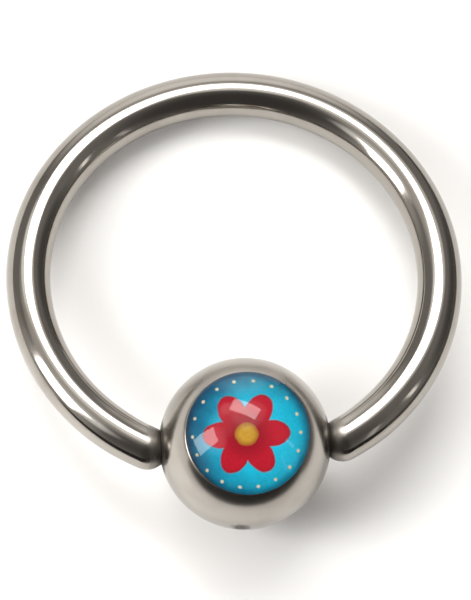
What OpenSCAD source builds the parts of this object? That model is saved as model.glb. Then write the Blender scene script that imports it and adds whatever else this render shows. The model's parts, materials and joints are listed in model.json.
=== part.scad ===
// Captive bead ring, lying on its side. A round wire hoop ends in two round tips, and a ball with
// a picture under a clear dome is pinched between them. Millimetres, +Z up, the ball towards -Y.
// The origin is on the floor, under the middle of the ring's length and width.

/* [Hoop] */
// Inner diameter of the wire hoop
hoop_inner_d = 13.2; // [10:0.1:20]
// Diameter of the round wire
wire_d = 1.6; // [1.0:0.1:2.0]
// Width of the fine edge where the wire ends and its round tip begins
tip_edge = 0.02; // [0.01:0.01:0.1]

/* [Bead] */
// Diameter of the ball
bead_d = 6.1; // [5.4:0.1:8]
// How far each round tip of the wire reaches into the ball's outline
tip_sink = 0.35; // [0.2:0.05:0.5]
// Free space between a tip and its dimple
seat_gap = 0.04; // [0.02:0.01:0.1]
// Turn of the ball about the line through its dimples, which leans the picture towards -Y
bead_turn = 13.5; // [0:0.5:40]

/* [Picture recess] */
// Diameter of the recess in the ball's front
recess_d = 4.38; // [3.2:0.02:4.7]
// How far the small bevel round the recess's mouth reaches down its wall
rim_bevel = 0.06; // [0.02:0.01:0.12]
// Depth of the picture's face below the recess's sharp rim
picture_depth = 0.25; // [0.1:0.05:0.8]
// Thickness of the printed disc
picture_t = 0.2; // [0.1:0.05:0.5]
// Height of the dome's top above the recess's rim
dome_rise = 0.95; // [0.3:0.05:1.2]
// Free space between the disc, the dome and the recess
fit_gap = 0.02; // [0.01:0.01:0.05]

/* [Hidden] */
$fn = 128;

wire_r = wire_d / 2;
tip_r = wire_r - tip_edge;
hoop_r = hoop_inner_d / 2 + wire_r;
bead_r = bead_d / 2;
recess_r = recess_d / 2;

// The centre of each round tip, left and right of the ball's centre, on the wire's centreline
tip_x = bead_r - tip_sink + tip_r;
bead_y = sqrt(hoop_r * hoop_r - tip_x * tip_x);
end_angle = asin(tip_x / hoop_r);
// Side of a block that is larger than the whole ring
room = 6 * hoop_r;

// Lying on a floor, the ring touches it with the ball and with the wire opposite the ball
lie_angle = asin((bead_r - wire_r) / (hoop_r + bead_y));
plane_z = wire_r + hoop_r * sin(lie_angle);
far_y = hoop_r * cos(lie_angle) + wire_r;
near_y = bead_y * cos(lie_angle) + bead_r;
plane_y = (near_y - far_y) / 2;

// Heights along the picture's axis, from the ball's centre
rim_z = sqrt(bead_r * bead_r - recess_r * recess_r);
picture_z = rim_z - picture_depth;
floor_z = picture_z - picture_t - fit_gap;
picture_r = recess_r - fit_gap;
dome_r = (recess_r * recess_r + dome_rise * dome_rise) / (2 * dome_rise);

// Lays what is drawn in the hoop's own plane on the floor
module lying() {
    translate([0, plane_y, plane_z]) rotate([-lie_angle, 0, 0]) children();
}

// Puts what is drawn about the ball's centre, picture up, in its place in the hoop
module in_bead_place() {
    lying() translate([0, -bead_y, 0]) rotate([bead_turn, 0, 0]) children();
}

// Puts what is drawn at the origin on one end of the wire, with +Z pointing out of the wire
module on_wire_end(side) {
    rotate([0, 0, side * end_angle - 90]) translate([hoop_r, 0, 0])
        rotate([side * 90, 0, 0]) children();
}

// All that lies past one end of the wire
module past_end() {
    translate([-room / 2, -room / 2, 0]) cube(room);
}

// The wire: a circle with a gap for the ball at -Y, and a ball's half as a round tip on each end
module hoop() {
    color("#a9a6a1") lying() {
        difference() {
            rotate_extrude() translate([hoop_r, 0]) circle(r = wire_r);
            intersection() {
                on_wire_end(-1) past_end();
                on_wire_end(1) past_end();
            }
        }
        for (side = [-1, 1]) on_wire_end(side) sphere(r = tip_r);
    }
}

// The ball, with a dimple at each side and the picture's recess on top
module bead() {
    color("#b0aba4") in_bead_place() difference() {
        sphere(r = bead_r);
        for (side = [-1, 1])
            translate([side * tip_x, 0, 0]) sphere(r = tip_r + seat_gap);
        translate([0, 0, floor_z]) cylinder(h = bead_d, r = recess_r);
        translate([0, 0, rim_z - rim_bevel])
            cylinder(h = bead_r, r1 = recess_r, r2 = recess_r + bead_r);
    }
}

// The printed disc at the bottom of the recess
module picture_disc() {
    color("#2298c4") in_bead_place()
        translate([0, 0, picture_z - picture_t]) cylinder(h = picture_t, r = picture_r);
}

// The clear dome: a cap of a ball that fills the recess above the picture
module clear_dome() {
    color("#d8ecf4") in_bead_place() intersection() {
        translate([0, 0, rim_z + dome_rise - dome_r]) sphere(r = dome_r);
        translate([0, 0, picture_z + fit_gap]) cylinder(h = bead_d, r = picture_r);
    }
}

hoop();
bead();
picture_disc();
clear_dome();
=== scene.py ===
"""Looks of a captive bead ring that lies on a pale floor.

A polished steel wire is bent to an open hoop with two round tips. A polished steel ball sits
between the tips, and carries a printed picture under a clear resin dome. Sizes are in millimetres
and repeat those of the solid model. Blender's own unit is the metre.
"""
import json
import logging
import math
from abc import ABC, abstractmethod
from dataclasses import dataclass, field
from enum import Enum
from typing import Any, Callable, Sequence

import bpy
import numpy as np
from mathutils import Matrix, Vector

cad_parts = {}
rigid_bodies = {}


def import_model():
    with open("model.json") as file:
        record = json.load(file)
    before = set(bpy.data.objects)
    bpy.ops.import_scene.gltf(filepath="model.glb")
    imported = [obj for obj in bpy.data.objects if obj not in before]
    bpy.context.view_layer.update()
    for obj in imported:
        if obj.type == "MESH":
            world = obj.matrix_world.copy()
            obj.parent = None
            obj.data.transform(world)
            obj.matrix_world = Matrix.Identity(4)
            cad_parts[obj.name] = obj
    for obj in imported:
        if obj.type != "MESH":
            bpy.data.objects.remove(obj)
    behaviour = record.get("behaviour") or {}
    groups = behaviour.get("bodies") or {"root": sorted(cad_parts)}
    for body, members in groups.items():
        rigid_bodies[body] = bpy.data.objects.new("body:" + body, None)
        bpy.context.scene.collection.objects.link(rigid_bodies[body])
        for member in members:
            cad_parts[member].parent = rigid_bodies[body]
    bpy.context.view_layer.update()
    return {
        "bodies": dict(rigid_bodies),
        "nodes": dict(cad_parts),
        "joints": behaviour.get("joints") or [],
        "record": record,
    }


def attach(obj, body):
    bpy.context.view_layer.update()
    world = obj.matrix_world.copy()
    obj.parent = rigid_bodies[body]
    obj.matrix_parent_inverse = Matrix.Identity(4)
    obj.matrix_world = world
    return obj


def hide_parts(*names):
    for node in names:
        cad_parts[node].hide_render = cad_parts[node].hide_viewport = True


LOG = logging.getLogger("captive_ring")
MM = 0.001  # a millimetre, in metres
OWN_PLACE = "own_mm"  # mesh attribute: a point's place in its piece's own frame, in millimetres
SHARP = math.radians(50)  # a bend between two faces above which their edge isn't smoothed
ON_AXIS = 1e-9  # radius in millimetres below which a ring is a single point
PLACE_TOLERANCE = 0.02  # how far, in millimetres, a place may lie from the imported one
SHARE, UNDER, OVER, MIXED = 0, 6, 7, 2  # a colour Mix node's three inputs, and its output

Object = bpy.types.Object
Socket = bpy.types.NodeSocket
Tree = bpy.types.NodeTree


class Body(Enum):
    """The two bodies that move against each other."""

    RING = "ring"
    BALL = "ball"


class Lay(Enum):
    """A piece's own axes in such an order that its polishing lines run round the last."""

    ROUND_HOOP = "XYZ"
    ROUND_DIMPLES = "YZX"


def linear(colour: str) -> tuple[float, float, float, float]:
    """Turns an sRGB hex colour into linear light with full alpha.

    Args:
        colour: the colour as "#rrggbb".

    Returns:
        Red, green, blue and alpha, each from 0 to 1.
    """
    shares = [int(colour[i:i + 2], 16) / 255 for i in (1, 3, 5)]
    red, green, blue = (s / 12.92 if s <= 0.04045 else ((s + 0.055) / 1.055) ** 2.4 for s in shares)
    return red, green, blue, 1.0


def add_node(tree: Tree, kind: str, inputs: dict[str | int, Any] | None = None,
             **settings: Any) -> bpy.types.Node:
    """Adds a node with its settings and links.

    Args:
        tree: the node tree that gets the node.
        kind: Blender's name for the type of node, without the ShaderNode that it begins with.
        inputs: for an input's name or number, the value that it holds or the output that feeds it.
        settings: options of the node itself.

    Returns:
        The new node.
    """
    node = tree.nodes.new(f"ShaderNode{kind}")
    for option, value in settings.items():
        setattr(node, option, value)
    for key, value in (inputs or {}).items():
        if isinstance(value, Socket):
            tree.links.new(value, node.inputs[key])
        else:
            node.inputs[key].default_value = value
    return node


def smoothstep(x: np.ndarray | float) -> np.ndarray | float:
    """Eases from 0 to 1 as x goes from 0 to 1."""
    t = np.clip(x, 0.0, 1.0)
    return t * t * (3 - 2 * t)


def crowded(count: int, centres: Sequence[float] = (), reach: float = 0.3,
            gain: float = 2.5) -> np.ndarray:
    """Spreads angles over a full turn, evenly or closer together near some of them.

    Args:
        count: how many angles.
        centres: the angles that the others crowd round, in radians, or none for an even spread.
        reach: half the width of each crowd, in radians.
        gain: how many times closer the angles are in a crowd than elsewhere, less one.

    Returns:
        The angles in radians, in rising order.
    """
    fine = np.linspace(-math.pi, math.pi, 4001)
    density = np.ones_like(fine)
    for centre in centres:
        away = np.abs((fine - centre + math.pi) % math.tau - math.pi)
        density += gain * np.exp(-((away / reach) ** 4))
    total = np.concatenate([[0.0], np.cumsum((density[1:] + density[:-1]) / 2)])
    return np.interp(np.arange(count) / count * total[-1], total, fine)


def turned(profile: np.ndarray, angles: np.ndarray) -> list[np.ndarray]:
    """Turns a profile about Z.

    Args:
        profile: points as rows of radius and height, from one end of the axis to the other.
        angles: where the profile stands, in radians.

    Returns:
        An array of points for each row; a row on the axis gives one point.
    """
    rings = []
    for radius, height in profile:
        at = angles[:1] if radius < ON_AXIS else angles
        level = np.full(len(at), height)
        rings.append(np.stack([radius * np.cos(at), radius * np.sin(at), level], axis=1))
    return rings


def arc(centre: tuple[float, float], radius: float, start: float, end: float, count: int) -> np.ndarray:
    """Gives points on an arc in the plane of radius and height.

    Args:
        centre: the arc's centre.
        radius: its radius.
        start: its first angle in degrees, from the radius axis towards the height axis.
        end: its last angle.
        count: how many points, both ends among them.

    Returns:
        The points, as rows of radius and height.
    """
    angles = np.radians(np.linspace(start, end, count))
    return np.stack([centre[0] + radius * np.cos(angles), centre[1] + radius * np.sin(angles)], axis=1)


def skin(name: str, rings: Sequence[np.ndarray], place: Matrix) -> Object:
    """Joins rings of points into one closed mesh, smooth but for its sharp edges.

    Args:
        name: the piece's name.
        rings: the rings in the piece's own frame, in millimetres.
        place: where the piece's own frame stands in the row frame, in millimetres.

    Returns:
        The piece, with its points in the row frame and their own places in an attribute.
    """
    points = np.vstack(rings)
    starts = np.cumsum([0, *(len(ring) for ring in rings)])
    faces = []
    for near, far, a, b in zip(rings, rings[1:], starts, starts[1:]):
        count = max(len(near), len(far))
        for i in range(count):
            j = i + 1
            corners = (a + i % len(near), a + j % len(near), b + j % len(far), b + i % len(far))
            faces.append([int(c) for c in dict.fromkeys(corners)])
    turn = np.array(place.to_3x3())
    placed = (points @ turn.T + np.array(place.translation)) * MM
    mesh = bpy.data.meshes.new(name)
    mesh.from_pydata(placed.tolist(), [], faces)
    own = mesh.attributes.new(OWN_PLACE, "FLOAT_VECTOR", "POINT")
    own.data.foreach_set("vector", points.astype(np.float32).ravel())
    mesh.shade_smooth()
    mesh.set_sharp_from_angle(angle=SHARP)
    mesh.update()
    if enclosed_volume(mesh) < 0:
        mesh.flip_normals()
    piece = bpy.data.objects.new(name, mesh)
    bpy.context.scene.collection.objects.link(piece)
    return piece


def enclosed_volume(mesh: bpy.types.Mesh) -> float:
    """Gives the volume inside a closed mesh, below zero where its faces look inwards."""
    middle = np.mean([v.co for v in mesh.vertices], axis=0)
    return sum((np.array(p.center) - middle) @ np.array(p.normal) * p.area / 3 for p in mesh.polygons)


@dataclass(frozen=True)
class RingSizes:
    """The ring's driving sizes in millimetres and degrees, as the solid model has them."""

    hoop_inner_d: float = 13.2
    wire_d: float = 1.6
    tip_edge: float = 0.02
    bead_d: float = 6.1
    tip_sink: float = 0.35
    bead_turn: float = 13.5
    recess_d: float = 4.38
    picture_depth: float = 0.25
    picture_t: float = 0.2
    dome_rise: float = 0.95
    fit_gap: float = 0.02

    @property
    def wire_r(self) -> float:
        """Radius of the wire."""
        return self.wire_d / 2

    @property
    def tip_r(self) -> float:
        """Radius of each round tip."""
        return self.wire_r - self.tip_edge

    @property
    def hoop_r(self) -> float:
        """Radius of the wire's centreline."""
        return self.hoop_inner_d / 2 + self.wire_r

    @property
    def bead_r(self) -> float:
        """Radius of the ball."""
        return self.bead_d / 2

    @property
    def recess_r(self) -> float:
        """Radius of the recess in the ball."""
        return self.recess_d / 2

    @property
    def tip_x(self) -> float:
        """How far each tip's centre lies from the ball's centre."""
        return self.bead_r - self.tip_sink + self.tip_r

    @property
    def bead_y(self) -> float:
        """How far the ball's centre lies from the hoop's."""
        return math.sqrt(self.hoop_r ** 2 - self.tip_x ** 2)

    @property
    def end_angle(self) -> float:
        """Angle at the hoop's centre between the ball and each end of the wire, in radians."""
        return math.asin(self.tip_x / self.hoop_r)

    @property
    def rim_z(self) -> float:
        """Height of the recess's sharp rim over the ball's centre, along the picture's axis."""
        return math.sqrt(self.bead_r ** 2 - self.recess_r ** 2)

    @property
    def picture_z(self) -> float:
        """Height of the picture's face over the ball's centre."""
        return self.rim_z - self.picture_depth

    @property
    def floor_z(self) -> float:
        """Height of the recess's floor over the ball's centre."""
        return self.picture_z - self.picture_t - self.fit_gap

    def hoop_place(self) -> Matrix:
        """Lays the hoop's own plane so that the ball and the wire opposite it touch the floor."""
        lie = math.asin((self.bead_r - self.wire_r) / (self.hoop_r + self.bead_y))
        far_y = self.hoop_r * math.cos(lie) + self.wire_r
        near_y = self.bead_y * math.cos(lie) + self.bead_r
        middle = Vector((0, (near_y - far_y) / 2, self.wire_r + self.hoop_r * math.sin(lie)))
        return Matrix.Translation(middle) @ Matrix.Rotation(-lie, 4, "X")

    def ball_place(self) -> Matrix:
        """Puts the ball's own frame, picture up, in its place in the hoop."""
        turn = Matrix.Rotation(math.radians(self.bead_turn), 4, "X")
        return self.hoop_place() @ Matrix.Translation((0, -self.bead_y, 0)) @ turn

    def check(self, frame: dict[str, Any]) -> None:
        """Stops the script if these sizes aren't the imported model's.
        """
        pivot = Vector(frame["joints"][0]["pos_m"]) / MM
        off = (self.ball_place().translation - pivot).length
        if off > PLACE_TOLERANCE:
            raise ValueError(f"the ball's centre is {off:.3f} mm from the packed joint")


class Finish(ABC):
    """A surface as it was made, which turns into one procedural material."""

    @abstractmethod
    def dress(self, tree: Tree, own: Socket) -> dict[str, Any]:
        """Adds the finish's nodes and gives what goes into the shader's sockets.

        Args:
            tree: the material's node tree.
            own: a point's own place in millimetres.

        Returns:
            A value or an output for each socket's name.
        """

    def relief(self, tree: Tree, own: Socket, spread_mm: float, height_mm: float, detail: float) -> Socket:
        """Adds low uneven bumps.

        Args:
            tree: the material's node tree.
            own: a point's own place in millimetres.
            spread_mm: how far apart the bumps are.
            height_mm: how high they are.
            detail: how much finer unevenness lies on them.

        Returns:
            The bumpy surface's normal.
        """
        spread = {"Vector": own, "Scale": 1 / spread_mm, "Detail": detail}
        bumps = add_node(tree, "TexNoise", spread).outputs[0]
        height = add_node(tree, "Math", {0: bumps, 1: height_mm * MM}, operation="MULTIPLY").outputs[0]
        return add_node(tree, "Bump", {"Height": height, "Distance": 1.0}).outputs[0]

    def material(self, name: str) -> bpy.types.Material:
        """Makes the material.

        Args:
            name: the material's name.

        Returns:
            The material, with the finish's nodes in it.
        """
        made = bpy.data.materials.new(name)
        made.use_nodes = True
        tree = made.node_tree
        tree.nodes.clear()
        own = add_node(tree, "Attribute", attribute_name=OWN_PLACE).outputs["Vector"]
        shader = add_node(tree, "BsdfPrincipled", self.dress(tree, own))
        add_node(tree, "OutputMaterial", {"Surface": shader.outputs["BSDF"]})
        return made


@dataclass(frozen=True)
class DarkPatch:
    """A dark oval on the steel, duller and less metallic, with ragged edges."""

    place: tuple[float, float, float]  # its middle, in the ball's own frame
    half_size: tuple[float, float, float]  # half its width, depth and height
    colour: str = "#41362F"
    roughness: float = 0.45
    metallic: float = 0.45
    ragged: float = 0.8  # how far the edge wanders, as a share of the half size
    grain_mm: float = 0.13
    edges: tuple[float, float] = (1.4, 0.7)  # where it begins and where it covers, in half sizes


@dataclass(frozen=True)
class ScuffAndShade:
    """A round patch where the polish is dulled: by a tip and its dimple, which rub, or by wiping.
    At a tip and its dimple its colour is darker, painted shade where they meet.
    """

    place: tuple[float, float, float]  # its middle, in the piece's own frame
    reach: float  # radius at which it has faded out
    full: float  # radius up to which it is at its dullest
    roughness: float
    colour: str  # the steel there; at a tip and its dimple it is darker, painted shade where they meet


@dataclass(frozen=True)
class PolishedSteel(Finish):
    """Surgical stainless steel, drawn or turned, tumbled in media and buffed to a mirror.

    The buffing leaves a warm grey mirror. It waves a little over a few millimetres, where the
    bending and the wheel pressed unevenly, and it carries hairlines along the wheel's path and a
    haze in patches.
    """

    lay: Lay
    lay_radius: float  # radius at which the hairlines run round the axis
    scuffs_and_shade: tuple[ScuffAndShade, ...] = ()
    dark_patch: DarkPatch | None = None
    colour: str = "#AAA59E"
    film: str = "#8F8880"  # the faint film of handling
    film_mm: float = 1.7
    film_edges: tuple[float, float] = (0.45, 0.8)  # the cloud's value where it begins and is thickest
    film_most: float = 0.6
    roughness: float = 0.075
    haze: float = 0.05
    wave_mm: float = 2.4
    wave_height: float = 0.006
    hairline_mm: float = 0.07  # real ones are a few microns apart, drawn coarser so that they show
    hairline_length: float = 2.5
    hairline_height: float = 0.00012

    def hairlines(self, tree: Tree, own: Socket) -> Socket:
        """Adds streaks that run round the lay's axis.

        Args:
            tree: the material's node tree.
            own: a point's own place in millimetres.

        Returns:
            The streaks' strength, from 0 to 1.
        """
        parts = add_node(tree, "SeparateXYZ", {0: own}).outputs
        across, ahead, axial = (parts[axis] for axis in self.lay.value)
        turn = add_node(tree, "Math", {0: across, 1: ahead}, operation="ARCTAN2").outputs[0]
        flat = add_node(tree, "CombineXYZ", {"X": across, "Y": ahead}).outputs[0]
        radial = add_node(tree, "VectorMath", {0: flat}, operation="LENGTH").outputs["Value"]
        unrolled = add_node(tree, "CombineXYZ", {"X": turn, "Y": radial, "Z": axial}).outputs[0]
        shares = (self.lay_radius / self.hairline_length, 1 / self.hairline_mm, 1 / self.hairline_mm)
        scaled = add_node(tree, "VectorMath", {0: unrolled, 1: shares}, operation="MULTIPLY").outputs[0]
        return add_node(tree, "TexNoise", {"Vector": scaled, "Scale": 1.0, "Detail": 3.0}).outputs[0]

    def dress(self, tree: Tree, own: Socket) -> dict[str, Any]:
        """Adds the mirror's film, haze, waves and hairlines, the dulled places with their painted
        shade at the tips, and the dark patch where there is one.

        Args:
            tree: the material's node tree.
            own: a point's own place in millimetres.

        Returns:
            A value or an output for each socket's name.
        """
        lines = self.hairlines(tree, own)
        cloud = add_node(tree, "TexNoise",
                         {"Vector": own, "Scale": 1 / self.film_mm, "Detail": 4.0}).outputs[0]
        wave = add_node(tree, "TexNoise",
                        {"Vector": own, "Scale": 1 / self.wave_mm, "Detail": 0.0}).outputs[0]
        begin, full = self.film_edges
        filmed = add_node(tree, "MapRange", {0: cloud, 1: begin, 2: full, 3: 0.0, 4: self.film_most},
                          interpolation_type="SMOOTHSTEP").outputs[0]
        tones = {SHARE: filmed, UNDER: linear(self.colour), OVER: linear(self.film)}
        colour = add_node(tree, "Mix", tones, data_type="RGBA").outputs[MIXED]
        hazy = add_node(tree, "Math", {0: cloud, 1: self.haze, 2: self.roughness},
                        operation="MULTIPLY_ADD").outputs[0]
        rough = add_node(tree, "Math", {0: lines, 1: self.haze / 2, 2: hazy},
                         operation="MULTIPLY_ADD").outputs[0]
        # the dulled places roughen the polish; at the tips and dimples their darker colour is painted shade
        for scuff_and_shade in self.scuffs_and_shade:
            away = add_node(tree, "VectorMath", {0: own, 1: scuff_and_shade.place},
                            operation="DISTANCE").outputs["Value"]
            cover = add_node(tree, "MapRange", {0: away, 1: scuff_and_shade.reach, 2: scuff_and_shade.full},
                             interpolation_type="SMOOTHSTEP").outputs[0]
            rough = add_node(tree, "Mix", {0: cover, 2: rough, 3: scuff_and_shade.roughness}).outputs[0]
            tones = {SHARE: cover, UNDER: colour, OVER: linear(scuff_and_shade.colour)}
            colour = add_node(tree, "Mix", tones, data_type="RGBA").outputs[MIXED]
        swell = add_node(tree, "Math", {0: wave, 1: self.wave_height * MM}, operation="MULTIPLY").outputs[0]
        height = add_node(tree, "Math", {0: lines, 1: self.hairline_height * MM, 2: swell},
                          operation="MULTIPLY_ADD").outputs[0]
        normal = add_node(tree, "Bump", {"Height": height, "Distance": 1.0}).outputs[0]
        sockets = {"Base Color": colour, "Metallic": 1.0, "Roughness": rough, "Normal": normal}
        if self.dark_patch:
            sockets.update(self.with_dark_patch(tree, own, colour, rough))
        return sockets

    def with_dark_patch(self, tree: Tree, own: Socket, colour: Socket, rough: Socket) -> dict[str, Any]:
        """Lays the dark patch over the steel.

        Args:
            tree: the material's node tree.
            own: a point's own place in millimetres.
            colour: the clean steel's colour.
            rough: the clean steel's roughness.

        Returns:
            The outputs for colour, metallic and roughness with the dark patch in them.
        """
        mark = self.dark_patch
        away = add_node(tree, "VectorMath", {0: own, 1: mark.place}, operation="SUBTRACT").outputs[0]
        shares = tuple(1 / half for half in mark.half_size)
        oval = add_node(tree, "VectorMath", {0: away, 1: shares}, operation="MULTIPLY").outputs[0]
        reach = add_node(tree, "VectorMath", {0: oval}, operation="LENGTH").outputs["Value"]
        grain = add_node(tree, "TexNoise", {"Vector": own, "Scale": 1 / mark.grain_mm}).outputs[0]
        edge = add_node(tree, "Math", {0: grain, 1: mark.ragged, 2: reach},
                        operation="MULTIPLY_ADD").outputs[0]
        cover = add_node(tree, "MapRange", {0: edge, 1: mark.edges[0], 2: mark.edges[1]},
                         interpolation_type="SMOOTHSTEP").outputs[0]
        dull = add_node(tree, "MapRange", {0: cover, 3: 1.0, 4: mark.metallic}).outputs[0]
        rougher = add_node(tree, "Mix", {0: cover, 2: rough, 3: mark.roughness}).outputs[0]
        tones = {SHARE: cover, UNDER: colour, OVER: linear(mark.colour)}
        darker = add_node(tree, "Mix", tones, data_type="RGBA").outputs[MIXED]
        return {"Base Color": darker, "Metallic": dull, "Roughness": rougher}


@dataclass(frozen=True)
class PrintedPicture(Finish):
    """A colour print on coated paper: a plain six-petalled flower on a blue ground.

    Ink soaks into the coating, so edges are a little soft, tones are mottled and fine grain shows.
    The inks are given as on bare paper: the resin over them makes them deeper. Sizes are in
    millimetres from the disc's middle. The blue ground carries painted shade: it darkens with
    distance from a point right of its middle, as the rim shades it, and in a ring round its edge,
    under the recess's wall.
    """

    radius: float
    ground: str = "#1AD4F6"
    # the ground in the painted shade of the rim
    ground_in_painted_shade: str = "#0A5886"
    # the ground in painted shade round its edge, under the recess's wall
    edge: str = "#1A6E94"
    petal: str = "#D8152F"
    petal_deep: str = "#AE0D24"
    heart: str = "#DEA838"
    heart_deep: str = "#BC7826"
    dot: str = "#FBEFC4"
    petals: int = 6
    petal_middle: float = 0.78
    petal_half_length: float = 0.62
    petal_half_width: float = 0.42
    heart_radius: float = 0.36
    dots: int = 18
    dot_ring: float = 1.78
    dot_radius: float = 0.06
    dot_edges: tuple[float, float] = (1.3, 0.7)  # where a dot begins and where it covers, in dot radii
    petal_rim: float = 0.86  # share of a petal from which it deepens to its edge
    unshaded_middle: tuple[float, float, float] = (0.65, -0.2, 0.0)  # painted shade of the rim: the ground darkens away from here
    painted_shade_span: tuple[float, float] = (1.35, 3.25)  # how far from there the painted shade begins and is full
    painted_edge_shade: tuple[float, float] = (-0.42, 0.08)  # where the painted shade round the edge begins and is full, from the radius
    bleed: float = 0.03  # how soft and uneven the ink's edges are
    wander_mm: float = 0.25  # how far apart the edges' uneven places are
    grain_mm: float = 0.05
    grain_tones: tuple[float, float] = (0.9, 1.06)  # how much the grain darkens and lightens
    grain_roughness: tuple[float, float] = (0.45, 0.65)
    mottle_mm: float = 0.5
    mottle: float = 0.8

    def spoke(self, tree: Tree, place: Socket, count: int,
              middle: float, half: tuple[float, float]) -> Socket:
        """Repeats an oval round the disc's middle.

        Args:
            tree: the material's node tree.
            place: a point's place on the disc.
            count: how many ovals.
            middle: how far each oval's middle lies from the disc's.
            half: half an oval's size along and across its spoke.

        Returns:
            How far a point lies from the nearest oval's middle, 1 on the oval's edge.
        """
        parts = add_node(tree, "SeparateXYZ", {0: place}).outputs
        angle = add_node(tree, "Math", {0: parts["Y"], 1: parts["X"]}, operation="ARCTAN2").outputs[0]
        fold = add_node(tree, "Math", {0: angle, 1: math.pi / count}, operation="PINGPONG").outputs[0]
        flat = add_node(tree, "CombineXYZ", {"X": parts["X"], "Y": parts["Y"]}).outputs[0]
        radius = add_node(tree, "VectorMath", {0: flat}, operation="LENGTH").outputs["Value"]
        cosine = add_node(tree, "Math", {0: fold}, operation="COSINE").outputs[0]
        sine = add_node(tree, "Math", {0: fold}, operation="SINE").outputs[0]
        along = add_node(tree, "Math", {0: radius, 1: cosine, 2: -middle},
                         operation="MULTIPLY_ADD").outputs[0]
        across = add_node(tree, "Math", {0: radius, 1: sine}, operation="MULTIPLY").outputs[0]
        both = add_node(tree, "CombineXYZ", {"X": along, "Y": across}).outputs[0]
        shares = (1 / half[0], 1 / half[1], 0.0)
        scaled = add_node(tree, "VectorMath", {0: both, 1: shares}, operation="MULTIPLY").outputs[0]
        return add_node(tree, "VectorMath", {0: scaled}, operation="LENGTH").outputs["Value"]

    def lay_ink(self, tree: Tree, under: Any, ink: Any, place: Socket,
                edges: tuple[float, float]) -> Socket:
        """Lays an ink over what is printed so far.

        Args:
            tree: the material's node tree.
            under: the colour so far.
            ink: the new colour.
            place: a measure that tells where the ink goes.
            edges: the measure where the ink begins, and where it covers fully.

        Returns:
            The colour with the ink on it.
        """
        cover = add_node(tree, "MapRange", {0: place, 1: edges[0], 2: edges[1]},
                         interpolation_type="SMOOTHSTEP").outputs[0]
        tones = {SHARE: cover, UNDER: under, OVER: ink}
        return add_node(tree, "Mix", tones, data_type="RGBA").outputs[MIXED]

    def dress(self, tree: Tree, own: Socket) -> dict[str, Any]:
        """Prints the ground with its painted shade, the flower and the ring of dots, and lays the
        grain over them.

        Args:
            tree: the material's node tree.
            own: a point's own place in millimetres.

        Returns:
            A value or an output for each socket's name.
        """
        wander = add_node(tree, "TexNoise",
                          {"Vector": own, "Scale": 1 / self.wander_mm, "Detail": 2.0}).outputs["Color"]
        ink = add_node(tree, "VectorMath", {0: wander, 1: (2 * self.bleed,) * 3, 2: own},
                       operation="MULTIPLY_ADD").outputs[0]
        parts = add_node(tree, "SeparateXYZ", {0: ink}).outputs
        flat = add_node(tree, "CombineXYZ", {"X": parts["X"], "Y": parts["Y"]}).outputs[0]
        radius = add_node(tree, "VectorMath", {0: flat}, operation="LENGTH").outputs["Value"]
        mottle = add_node(tree, "TexNoise",
                          {"Vector": own, "Scale": 1 / self.mottle_mm, "Detail": 3.0}).outputs[0]
        # painted shade of the rim: the ground darkens with distance from a point right of its middle,
        # mottled at random
        away = add_node(tree, "VectorMath", {0: flat, 1: self.unshaded_middle},
                        operation="DISTANCE").outputs["Value"]
        depth = add_node(tree, "Math", {0: mottle, 1: self.mottle, 2: away},
                         operation="MULTIPLY_ADD").outputs[0]
        petal_half = (self.petal_half_length, self.petal_half_width)
        petal = self.spoke(tree, ink, self.petals, self.petal_middle, petal_half)
        dot = self.spoke(tree, ink, self.dots, self.dot_ring, (self.dot_radius, self.dot_radius))
        bleed, soft, heart_r = self.bleed, self.bleed / self.petal_half_width, self.heart_radius
        ring = (self.radius + self.painted_edge_shade[0], self.radius + self.painted_edge_shade[1])
        # lays the painted shade of the rim over the ground
        ground = self.lay_ink(tree, linear(self.ground), linear(self.ground_in_painted_shade), depth, self.painted_shade_span)
        # lays the painted shade round the edge, under the recess's wall
        ground = self.lay_ink(tree, ground, linear(self.edge), radius, ring)
        red = self.lay_ink(tree, linear(self.petal_deep), linear(self.petal), radius, (heart_r, 1.0))
        red = self.lay_ink(tree, red, linear(self.petal_deep), petal, (self.petal_rim, 1.0))
        heart = self.lay_ink(tree, linear(self.heart), linear(self.heart_deep), radius,
                             (0.5 * heart_r, heart_r))
        picture = self.lay_ink(tree, ground, red, petal, (1.0 + soft, 1.0 - soft))
        picture = self.lay_ink(tree, picture, heart, radius, (heart_r + bleed, heart_r - bleed))
        picture = self.lay_ink(tree, picture, linear(self.dot), dot, self.dot_edges)
        grain = add_node(tree, "TexNoise",
                         {"Vector": own, "Scale": 1 / self.grain_mm, "Detail": 1.0}).outputs[0]
        low, high = self.grain_tones
        tooth = add_node(tree, "MapRange", {0: grain, 1: 0.3, 2: 0.7, 3: low, 4: high}).outputs[0]
        picture = add_node(tree, "VectorMath", {0: picture, "Scale": tooth}, operation="SCALE").outputs[0]
        smooth, dry = self.grain_roughness
        rough = add_node(tree, "MapRange", {0: grain, 3: smooth, 4: dry}).outputs[0]
        return {"Base Color": picture, "Roughness": rough, "Specular IOR Level": 0.1}


@dataclass(frozen=True)
class CastResin(Finish):
    """Clear epoxy, poured over the print so that it domes and sets glossy.

    The surface pulls smooth as it sets, so it mirrors the lights sharply and waves only slightly.
    """

    colour: str = "#F7FBFC"
    ior: float = 1.46
    roughness: float = 0.015
    swirl_mm: float = 1.4
    swirl_height: float = 0.0015

    def dress(self, tree: Tree, own: Socket) -> dict[str, Any]:
        """Adds the poured surface's slight swirl."""
        normal = self.relief(tree, own, self.swirl_mm, self.swirl_height, detail=0.0)
        return {"Base Color": linear(self.colour), "Roughness": self.roughness, "IOR": self.ior,
                "Transmission Weight": 1.0, "Normal": normal}


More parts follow.
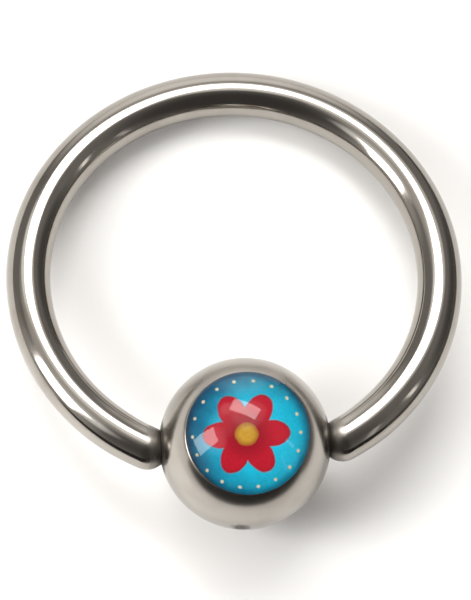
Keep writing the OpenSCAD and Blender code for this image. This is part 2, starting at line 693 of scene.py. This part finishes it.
@dataclass(frozen=True)
class SeamlessPaper(Finish):
    """Matt pale background paper, rolled out flat, with faint fibres."""

    colour: str = "#F6F5F4"
    fibre_mm: float = 0.4
    fibre_height: float = 0.004

    def dress(self, tree: Tree, own: Socket) -> dict[str, Any]:
        """Adds the paper's fibres."""
        normal = self.relief(tree, own, self.fibre_mm, self.fibre_height, detail=4.0)
        return {"Base Color": linear(self.colour), "Roughness": 0.9, "Specular IOR Level": 0.2,
                "Normal": normal}


def fit(piece: Object, material: bpy.types.Material, node: str, body: Body) -> Object:
    """Dresses a piece and puts it on its body in place of its solid.

    Args:
        piece: the piece, in place.
        material: what it is made of.
        node: the solid that it stands for.
        body: the body that carries it.

    Returns:
        The same piece.
    """
    piece.data.materials.append(material)
    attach(piece, body.value)
    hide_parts(node)
    triangles = sum(len(p.vertices) - 2 for p in piece.data.polygons)
    LOG.info("%s: %d triangles, rides on %s", piece.name, triangles, body.value)
    return piece


@dataclass
class WireHoop:
    """The round wire, bent to an open hoop, with a round tip on each end."""

    sizes: RingSizes
    points_round_wire: int = 72
    rings_along_wire: int = 340
    rings_along_tip: int = 18
    tip_ease: float = 1.6  # stretch over which the wire thins to its tip

    def section(self, angle: float, ahead: float, radius: float) -> np.ndarray:
        """Gives a ring of points round the wire.

        Args:
            angle: where on the hoop, in radians from the middle of its gap.
            ahead: how far past that place, straight along the wire.
            radius: the ring's radius, or 0 for a single point.

        Returns:
            The points in the hoop's own frame.
        """
        outward = np.array([math.sin(angle), -math.cos(angle), 0.0])
        along = np.array([math.cos(angle), math.sin(angle), 0.0])
        centre = outward * self.sizes.hoop_r + along * ahead
        if radius == 0:
            return centre[None, :]
        turns = np.linspace(0, math.tau, self.points_round_wire, endpoint=False)
        upward = np.array([0, 0, 1.0])
        return centre + radius * (np.cos(turns)[:, None] * outward + np.sin(turns)[:, None] * upward)

    def rings(self) -> list[np.ndarray]:
        """Gives the wire's rings, from the pole of one tip to the pole of the other."""
        s, end = self.sizes, self.sizes.end_angle
        rounding = np.linspace(0, math.pi / 2, self.rings_along_tip)
        first = [self.section(end, -s.tip_r * math.cos(b), s.tip_r * math.sin(b)) for b in rounding]
        last = [self.section(-end, s.tip_r * math.cos(b), s.tip_r * math.sin(b)) for b in rounding[::-1]]
        wire = []
        for angle in np.linspace(end, math.tau - end, self.rings_along_wire)[1:-1]:
            run = min(angle - end, math.tau - end - angle) * s.hoop_r
            thinner = s.tip_edge * (1 - smoothstep(run / self.tip_ease))
            wire.append(self.section(angle, 0.0, s.wire_r - thinner))
        return [*first, *wire, *last]

    def build(self) -> Object:
        """Makes the hoop and puts it on the ring's body."""
        s = self.sizes
        # the tips are rubbed duller, and their darker colour is painted shade where each meets its dimple
        ends = tuple(ScuffAndShade((side * s.bead_r, -s.bead_y, 0.0), reach=1.0, full=0.74, roughness=0.45,
                           colour="#8A857E") for side in (-1, 1))
        steel = PolishedSteel(Lay.ROUND_HOOP, s.hoop_r, ends, colour="#A6A19A")
        piece = skin("steel_hoop", self.rings(), s.hoop_place())
        return fit(piece, steel.material("hoop_steel"), "hoop", Body.RING)


@dataclass
class PictureBall:
    """The ball that closes the hoop, with the printed disc and the resin dome in its recess."""

    sizes: RingSizes
    columns: int = 240  # round the picture's axis
    rows: int = 400  # over a full turn through the picture's middle and the ball's far side
    row_margin: float = 0.01  # angle kept free of rows at the rim and the far side, in radians
    rim_rounds: tuple[float, float] = (0.01, 0.062)  # rounding of the rim, least and most buffed
    buffed_side: float = math.radians(-163.0)  # where round the picture the wheel buffed the rim most
    buffed_focus: float = 6.0  # how quickly the rim gets sharper away from there
    corner: float = 0.05  # rounding where the recess's wall meets its floor
    floor_margin: float = 0.1  # a ring this far inside the corner keeps the floor's shading flat
    seat_round: float = 0.04  # softening of each dimple's edge
    seat_gap: float = 0.005  # the tips and dimples sit closer than the solid model lets them
    disc_round: float = 0.02
    disc_margin: float = 0.05  # the same as the floor's, on both faces of the disc
    resin_climb: float = 90.0  # how far the resin climbs the rim's rounding, in degrees
    resin_reach: float = 0.004  # how far the resin reaches into what it wets
    resin_bevel: float = 0.02  # at the dome's hidden bottom edge
    dark_patch: DarkPatch = field(default_factory=lambda: DarkPatch(place=(-0.3, -3.01, 0.12),
                                                       half_size=(0.44, 1.0, 0.54)))

    def rim_centre(self, rounding: float) -> tuple[float, float]:
        """Gives the middle of the rim's rounding.

        Args:
            rounding: its radius. However wide it is, it meets the ball on the same circle.

        Returns:
            The middle's radius and height.
        """
        least, ball = self.rim_rounds[0], self.sizes.bead_r
        edge = math.asin((self.sizes.recess_r + least) / (ball - least))
        return (ball - rounding) * math.sin(edge), (ball - rounding) * math.cos(edge)

    def buffed(self, profile: Callable[[float], np.ndarray], columns: np.ndarray) -> list[np.ndarray]:
        """Turns a profile round the picture's axis, with a rounder rim towards the most buffed side.

        Args:
            profile: gives the profile for a rounding of the rim.
            columns: where the profile stands, in radians.

        Returns:
            The profile's rings.
        """
        least, most = (turned(profile(rounding), columns) for rounding in self.rim_rounds)
        share = (((1 + np.cos(columns - self.buffed_side)) / 2) ** self.buffed_focus)[:, None]
        return [few + (many - few) * share[:len(few)] for few, many in zip(least, most)]

    def pressed(self, points: np.ndarray) -> np.ndarray:
        """Presses the two dimples into the ball.

        Args:
            points: points on the ball.

        Returns:
            The points, moved towards the ball's centre where a dimple is.
        """
        s = self.sizes
        reach = np.linalg.norm(points, axis=1)
        facing = np.abs(points[:, 0]) / reach * s.tip_x
        inside = (s.tip_r + self.seat_gap) ** 2 - s.tip_x ** 2 + facing ** 2
        dimple = np.where(inside > 0, facing - np.sqrt(np.maximum(inside, 0)), 2 * s.bead_r)
        near = np.maximum(self.seat_round - np.abs(reach - dimple), 0) / self.seat_round
        depth = np.minimum(reach, dimple) - near ** 2 * self.seat_round / 4
        return points * (depth / reach)[:, None]

    def recess_profile(self, rounding: float) -> np.ndarray:
        """Gives the recess's floor, wall and rim for one rounding of the rim."""
        s, rim = self.sizes, self.rim_centre(rounding)
        corner = (rim[0] - rounding - self.corner, s.floor_z + self.corner)
        return np.vstack([
            [[0, s.floor_z], [corner[0] - self.floor_margin, s.floor_z]],
            arc(corner, self.corner, -90, 0, count=6),
            arc(rim, rounding, 180, math.degrees(math.atan2(rim[1], rim[0])), count=14),
        ])

    def steel_rings(self) -> list[np.ndarray]:
        """Gives the ball's rings: the recess's floor, wall and rim, then down to the far side."""
        s, rim, margin = self.sizes, self.rim_centre(self.rim_rounds[0]), self.row_margin
        polar = math.pi / 2 - crowded(self.rows, [0.0])
        start = math.atan2(rim[0], rim[1])
        steps = np.sort(polar[(polar > start + margin) & (polar < math.pi - margin)])
        ball = np.stack([s.bead_r * np.sin(steps), s.bead_r * np.cos(steps)], axis=1)
        columns = crowded(self.columns, [0.0, math.pi])
        outer = turned(np.vstack([ball, [[0, -s.bead_r]]]), columns)
        return [*self.buffed(self.recess_profile, columns), *(self.pressed(ring) for ring in outer)]

    def disc_profile(self, rounding: float) -> np.ndarray:
        """Gives the printed disc, from the middle of its face to the middle of its back."""
        s = self.sizes
        radius = self.rim_centre(rounding)[0] - rounding - s.fit_gap
        inner = radius - self.disc_round
        flat = inner - self.disc_margin
        top, back = s.picture_z, s.picture_z - s.picture_t
        return np.vstack([
            [[0, top], [flat, top]],
            arc((inner, top - self.disc_round), self.disc_round, 90, 0, count=5),
            arc((inner, back + self.disc_round), self.disc_round, 0, -90, count=5),
            [[flat, back], [0, back]],
        ])

    def dome_profile(self, rounding: float) -> np.ndarray:
        """Gives the dome. It wets the rim, the wall and the print, so it reaches a hair into them."""
        s, rim, wet, bevel = self.sizes, self.rim_centre(rounding), self.resin_reach, self.resin_bevel
        climb = math.radians(self.resin_climb)
        edge_r, edge_z = rim[0] - rounding * math.cos(climb), rim[1] + rounding * math.sin(climb)
        rise = s.rim_z + s.dome_rise - edge_z
        radius = (edge_r ** 2 + rise ** 2) / (2 * rise)
        last = math.degrees(math.acos(edge_r / radius))
        cap = arc((0, s.rim_z + s.dome_rise - radius), radius, 90, last, count=60)
        cap[0, 0] = 0.0
        wall, bottom = rim[0] - rounding + wet, s.picture_z - wet
        side = [[wall, rim[1] - bevel], [wall, bottom + bevel], [wall - bevel, bottom], [0, bottom]]
        return np.vstack([cap, side])

    def build(self) -> list[Object]:
        """Makes the ball, the disc and the dome, and puts them on the ball's body."""
        s, place = self.sizes, self.sizes.ball_place()
        # the dimples are rubbed duller, and their darker colour is painted shade where the tips meet them
        shaded_seats = tuple(ScuffAndShade((side * s.bead_r, 0.0, 0.0), reach=1.15, full=0.8, roughness=0.5,
                            colour="#635E58") for side in (-1, 1))
        wiped = ScuffAndShade((0.0, 2.27, 2.04), reach=2.2, full=1.2, roughness=0.3, colour="#AAA59E")
        finish = PolishedSteel(Lay.ROUND_DIMPLES, s.bead_r, (*shaded_seats, wiped), self.dark_patch, roughness=0.15)
        steel = finish.material("bead_steel")
        picture = PrintedPicture(s.recess_r - s.fit_gap).material("printed_picture")
        resin = CastResin().material("clear_resin")
        even = crowded(self.columns)
        ball = fit(skin("steel_ball", self.steel_rings(), place), steel, "bead", Body.BALL)
        disc = fit(skin("printed_disc", self.buffed(self.disc_profile, even), place), picture,
                   "picture_disc", Body.BALL)
        dome = fit(skin("resin_dome", self.buffed(self.dome_profile, even), place), resin,
                   "clear_dome", Body.BALL)
        return [ball, disc, dome]


def looking(azimuth: float, elevation: float) -> Vector:
    """Gives the direction from the ring towards a place round it.

    Args:
        azimuth: degrees round from -Y towards +X.
        elevation: degrees above the floor.

    Returns:
        The direction, of length 1.
    """
    a, e = math.radians(azimuth), math.radians(elevation)
    return Vector((math.sin(a) * math.cos(e), -math.cos(a) * math.cos(e), math.sin(e)))


def faced(back: Vector, roll: float, place: Vector) -> Matrix:
    """Gives the matrix of a camera or light that looks along its own -Z.

    Args:
        back: the direction that its own +Z points in.
        roll: degrees that it is turned about that direction.
        place: where it stands, in metres.

    Returns:
        The matrix.
    """
    level = Vector((0, 0, 1)).cross(back).normalized()
    upward = back.cross(level)
    angle = math.radians(roll)
    right = level * math.cos(angle) + upward * math.sin(angle)
    turn = Matrix((right, back.cross(right), back)).transposed()
    return Matrix.Translation(place) @ turn.to_4x4()


@dataclass(frozen=True)
class SoftBox:
    """A rectangular soft light."""

    name: str
    azimuth: float
    elevation: float
    width: float  # degrees that it spans, seen from the ring
    height: float
    radiance: float
    roll: float = 0.0
    distance: float = 0.16
    colour: str = "#FFFEFC"
    mirrored: bool = True  # whether polished pieces mirror it, or only get its light

    def build(self) -> Object:
        """Hangs the light where it faces the ring."""
        lamp = bpy.data.lights.new(self.name, "AREA")
        lamp.shape = "RECTANGLE"
        lamp.size = 2 * self.distance * math.tan(math.radians(self.width / 2))
        lamp.size_y = 2 * self.distance * math.tan(math.radians(self.height / 2))
        lamp.energy = self.radiance * math.pi * lamp.size * lamp.size_y
        lamp.color = linear(self.colour)[:3]
        hung = bpy.data.objects.new(self.name, lamp)
        bpy.context.scene.collection.objects.link(hung)
        back = looking(self.azimuth, self.elevation)
        hung.matrix_world = faced(back, self.roll, back * self.distance)
        hung.visible_glossy = self.mirrored
        return hung


@dataclass(frozen=True)
class RoomZone:
    """A soft-edged part of the room round the ring, such as a pale wall."""

    name: str
    azimuth: float
    elevation: float
    inner: float  # degrees from its middle up to which it has its full tone
    outer: float  # degrees from its middle where it ends
    colour: str
    strength: float = 1.0


@dataclass(frozen=True)
class CardPaper(Finish):
    """Matt card, dyed through and cut to a strip."""

    colour: str
    fibre_mm: float = 0.4

    def dress(self, tree: Tree, own: Socket) -> dict[str, Any]:
        """Adds the card's faint fibres."""
        fibre = add_node(tree, "TexNoise",
                         {"Vector": own, "Scale": 1 / self.fibre_mm, "Detail": 3.0}).outputs[0]
        rough = add_node(tree, "MapRange", {0: fibre, 3: 0.8, 4: 1.0}).outputs[0]
        return {"Base Color": linear(self.colour), "Roughness": rough, "Specular IOR Level": 0.1}


@dataclass(frozen=True)
class DarkeningCard:
    """A low strip of card that stands near the ring and gives the steel a dark edge.

    Jewellery is lit with such cards just out of the picture. The camera doesn't see this one. It
    shows only in what steel and resin mirror, and it neither shades nor tints the floor.
    """

    name: str = "darkening_card"
    azimuth: float = 0.0  # degrees round from -Y towards +X
    ahead: float = 23.0  # how far it stands from the origin, in millimetres
    half_width: float = 70.0
    height: float = 8.0
    thickness: float = 0.3
    sections: int = 8
    colour: str = "#2C2B2A"

    def build(self) -> Object:
        """Stands the card on the floor."""
        near, far = -self.ahead, -self.ahead - self.thickness
        corners = [(near, 0.0), (far, 0.0), (far, self.height), (near, self.height)]
        rings = [np.array([(x, y, z) for y, z in corners])
                 for x in np.linspace(-self.half_width, self.half_width, self.sections)]
        ends = [ring.mean(axis=0)[None, :] for ring in (rings[0], rings[-1])]
        place = Matrix.Rotation(math.radians(self.azimuth), 4, "Z")
        card = skin(self.name, [ends[0], *rings, ends[1]], place)
        card.data.materials.append(CardPaper(self.colour).material("dyed_card"))
        card.visible_camera = False
        card.visible_diffuse = False
        card.visible_shadow = False
        return card


@dataclass
class Studio:
    """The pale floor, the soft lights, the dark cards and the room round the ring."""

    room: str = "#8A8784"
    room_strength: float = 1.2
    floor_radius: float = 400.0
    floor_middle: float = 4.0  # radius of the floor's innermost ring
    floor_thickness: float = 1.0
    floor_rings: int = 24
    floor_columns: int = 96
    zones: tuple[RoomZone, ...] = (
        RoomZone("dark_side_behind_camera", azimuth=0.0, elevation=46.0, inner=18.0, outer=60.0,
                 colour="#4A4846"),
        RoomZone("dark_corner", azimuth=110.0, elevation=10.0, inner=8.0, outer=34.0,
                 colour="#585654"),
        RoomZone("glow_at_left", azimuth=-84.0, elevation=14.0, inner=5.0, outer=32.0,
                 colour="#BAB7B3"),
        RoomZone("glow_between_boxes", azimuth=-127.0, elevation=57.0, inner=6.0, outer=27.0,
                 colour="#D2CFCA"),
        RoomZone("pale_back_wall", azimuth=180.0, elevation=12.0, inner=6.0, outer=30.0,
                 colour="#FFFDFA", strength=1.2),
        RoomZone("pale_ceiling", azimuth=172.0, elevation=77.0, inner=4.0, outer=13.0,
                 colour="#D8D5D0"),
        RoomZone("haze_over_overhead_box", azimuth=176.0, elevation=63.0, inner=8.0, outer=26.0,
                 colour="#FFFEFC", strength=1.4),
        RoomZone("haze_beside_overhead_box", azimuth=-147.0, elevation=46.0, inner=5.0, outer=11.0,
                 colour="#FFFEFC", strength=1.3),
        RoomZone("haze_right_of_overhead_box", azimuth=154.0, elevation=54.0, inner=5.0, outer=14.0,
                 colour="#FFFEFC", strength=0.85),
        RoomZone("edge_of_side_box", azimuth=-84.0, elevation=44.0, inner=10.0, outer=21.0,
                 colour="#FFFFFF"),
    )
    lights: tuple[SoftBox, ...] = (
        SoftBox("overhead_box", azimuth=180.0, elevation=58.0, width=36.0, height=18.0,
                radiance=6.4, roll=-29.0),
        SoftBox("side_box", azimuth=-84.5, elevation=32.0, width=33.5, height=20.5,
                radiance=6.2, roll=104.0),
        SoftBox("narrow_lamp", azimuth=77.5, elevation=28.5, width=4.0, height=16.0,
                radiance=1.7, roll=-17.0),
        SoftBox("second_narrow_lamp", azimuth=53.0, elevation=24.0, width=4.0, height=20.0,
                radiance=0.6, roll=-22.0),
        SoftBox("fill_panel", azimuth=-120.0, elevation=60.0, width=70.0, height=70.0,
                radiance=0.5, distance=0.07, mirrored=False),
        SoftBox("low_fill_left", azimuth=-56.0, elevation=34.0, width=22.0, height=22.0,
                radiance=6.0, distance=0.021, mirrored=False),
        SoftBox("low_fill_right", azimuth=70.0, elevation=34.0, width=22.0, height=22.0,
                radiance=3.0, distance=0.021, mirrored=False),
    )
    cards: tuple[DarkeningCard, ...] = (
        DarkeningCard(),
        DarkeningCard("darkening_card_right", azimuth=97.0, ahead=22.0, half_width=22.0,
                      height=5.0, colour="#615F5D"),
    )

    def floor(self) -> Object:
        """Rolls out the paper under the ring."""
        radii = np.geomspace(self.floor_middle, self.floor_radius, self.floor_rings)
        radii = np.concatenate([[0.0], radii])
        under = [[self.floor_radius, -self.floor_thickness], [0.0, -self.floor_thickness]]
        profile = np.vstack([np.stack([radii, 0 * radii], axis=1), under])
        piece = skin("paper_floor", turned(profile, crowded(self.floor_columns)), Matrix.Identity(4))
        piece.data.materials.append(SeamlessPaper().material("background_paper"))
        return piece

    def surroundings(self) -> bpy.types.World:
        """Makes the room: an even tone with a few soft darker and paler zones.

        Returns:
            The scene's new world.
        """
        world = bpy.data.worlds.new("soft_room")
        world.use_nodes = True
        tree = world.node_tree
        tree.nodes.clear()
        direction = add_node(tree, "TexCoord").outputs["Generated"]
        tone = linear(self.room)
        for zone in self.zones:
            middle = tuple(looking(zone.azimuth, zone.elevation))
            nearness = add_node(tree, "VectorMath", {0: direction, 1: middle},
                                operation="DOT_PRODUCT").outputs["Value"]
            limits = math.cos(math.radians(zone.outer)), math.cos(math.radians(zone.inner))
            cover = add_node(tree, "MapRange", {0: nearness, 1: limits[0], 2: limits[1]},
                             interpolation_type="SMOOTHSTEP", label=zone.name).outputs[0]
            glow = tuple(zone.strength * part for part in linear(zone.colour)[:3])
            tones = {SHARE: cover, UNDER: tone, OVER: (*glow, 1.0)}
            tone = add_node(tree, "Mix", tones, data_type="RGBA").outputs[MIXED]
        room = add_node(tree, "Background", {"Color": tone, "Strength": self.room_strength}).outputs[0]
        add_node(tree, "OutputWorld", {"Surface": room})
        return world

    def build(self) -> None:
        """Makes the floor, the cards, the lights and the room."""
        self.floor()
        for card in self.cards:
            card.build()
        for light in self.lights:
            light.build()
        bpy.context.scene.world = self.surroundings()
        bpy.context.scene.view_settings.view_transform = "Standard"
        LOG.info("studio: %d lights, %d zones", len(self.lights), len(self.zones))


@dataclass(frozen=True)
class Viewpoint:
    """The camera, at the photograph's angle to the ring."""

    azimuth: float = -10.76
    elevation: float = 74.04
    roll: float = 8.0
    distance: float = 0.1996
    aim: tuple[float, float, float] = (0.0, -0.188, 2.14)  # millimetres
    lens: float = 333.6
    sensor: float = 36.0
    nearest: float = 0.005  # metres in front of the camera from which it sees

    def build(self) -> Object:
        """Sets up the camera."""
        lens = bpy.data.cameras.new("camera")
        lens.lens = self.lens
        lens.sensor_width = self.sensor
        lens.clip_start = self.nearest
        camera = bpy.data.objects.new("camera", lens)
        bpy.context.scene.collection.objects.link(camera)
        back = looking(self.azimuth, self.elevation)
        camera.matrix_world = faced(back, self.roll, Vector(self.aim) * MM + back * self.distance)
        bpy.context.scene.camera = camera
        return camera


def main() -> None:
    """Checks the ball's place against the imported model, then builds the ring's looks, the studio and the
    camera.
    """
    logging.basicConfig(level=logging.INFO, format="%(name)s %(message)s")
    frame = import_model()
    sizes = RingSizes()
    sizes.check(frame)
    WireHoop(sizes).build()
    PictureBall(sizes).build()
    Studio().build()
    Viewpoint().build()


if __name__ == "__main__":
    main()
